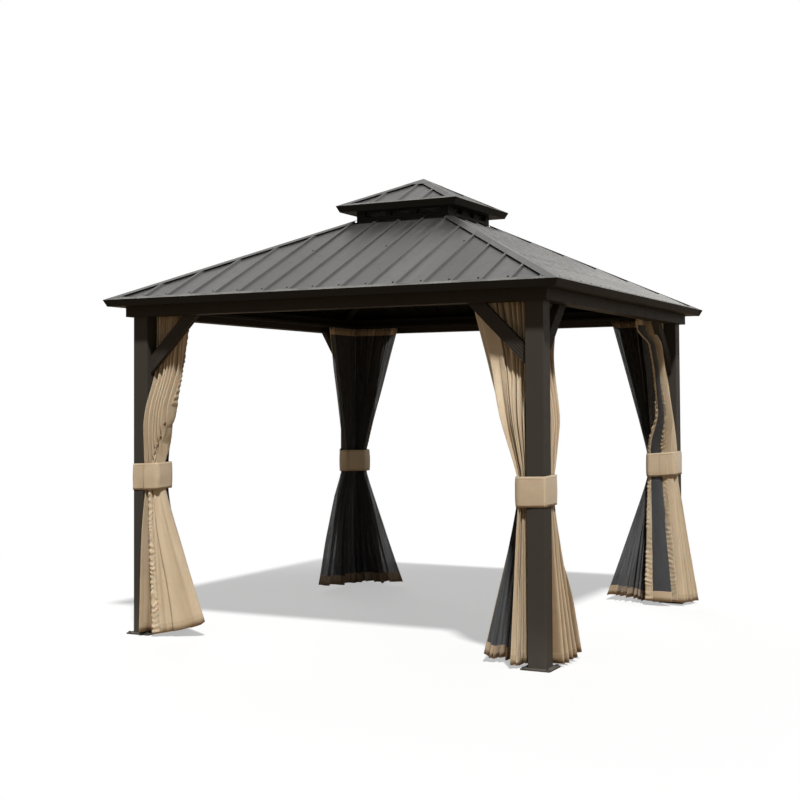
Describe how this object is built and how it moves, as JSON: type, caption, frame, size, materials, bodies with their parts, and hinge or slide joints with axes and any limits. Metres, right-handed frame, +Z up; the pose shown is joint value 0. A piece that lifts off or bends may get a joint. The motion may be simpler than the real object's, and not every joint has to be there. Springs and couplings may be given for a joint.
{
  "type": "metal gazebo",
  "caption": "Square metal gazebo with a ribbed hip roof in two tiers on posts with foot plates and knee braces, with curtains and insect nets tied back at its corners.",
  "frame": {"origin": "on the ground at the middle of the square footprint", "axes": "+X to the right, +Y to the back, +Z up; the front side faces -Y"},
  "size_m": [3.0018, 3.0018, 2.9341],
  "materials": {
    "frame_paint": "satin powder coat, dark grey brown",
    "roof_paint": "satin coil coat, grey brown",
    "trim_paint": "satin powder coat, near black brown",
    "curtain_cloth": "plain woven polyester, khaki",
    "net_mesh": "fine black insect mesh",
    "tie_cloth": "plain woven polyester, dark khaki"
  },
  "bodies": {
    "root": {"post_front_right": "frame_paint", "post_back_right": "frame_paint", "post_back_left": "frame_paint", "post_front_left": "frame_paint", "foot_plates": "frame_paint", "beam_front": "frame_paint", "beam_right": "frame_paint", "beam_back": "frame_paint", "beam_left": "frame_paint", "braces_front": "frame_paint", "braces_right": "frame_paint", "braces_back": "frame_paint", "braces_left": "frame_paint", "eave_trim_front": "trim_paint", "eave_trim_right": "trim_paint", "eave_trim_back": "trim_paint", "eave_trim_left": "trim_paint", "roof_slope_front": "roof_paint", "roof_slope_right": "roof_paint", "roof_slope_back": "roof_paint", "roof_slope_left": "roof_paint", "eave_corner_covers": "trim_paint", "hip_caps": "roof_paint", "hip_rafters": "frame_paint", "common_rafters": "frame_paint", "vent_frame": "trim_paint", "vent_net": "net_mesh", "upper_slopes": "roof_paint", "upper_eave_trim": "trim_paint", "upper_hip_caps": "roof_paint", "upper_rafters": "frame_paint", "apex_hub": "frame_paint", "apex_cap": "roof_paint", "curtain_tracks": "trim_paint", "curtain_front_right": "curtain_cloth", "curtain_back_right": "curtain_cloth", "curtain_back_left": "curtain_cloth", "curtain_front_left": "curtain_cloth", "net_front_right": "net_mesh", "net_back_right": "net_mesh", "net_back_left": "net_mesh", "net_front_left": "net_mesh", "tie_band_front_right": "tie_cloth", "tie_band_back_right": "tie_cloth", "tie_band_back_left": "tie_cloth", "tie_band_front_left": "tie_cloth"}
  },
  "joints": []
}
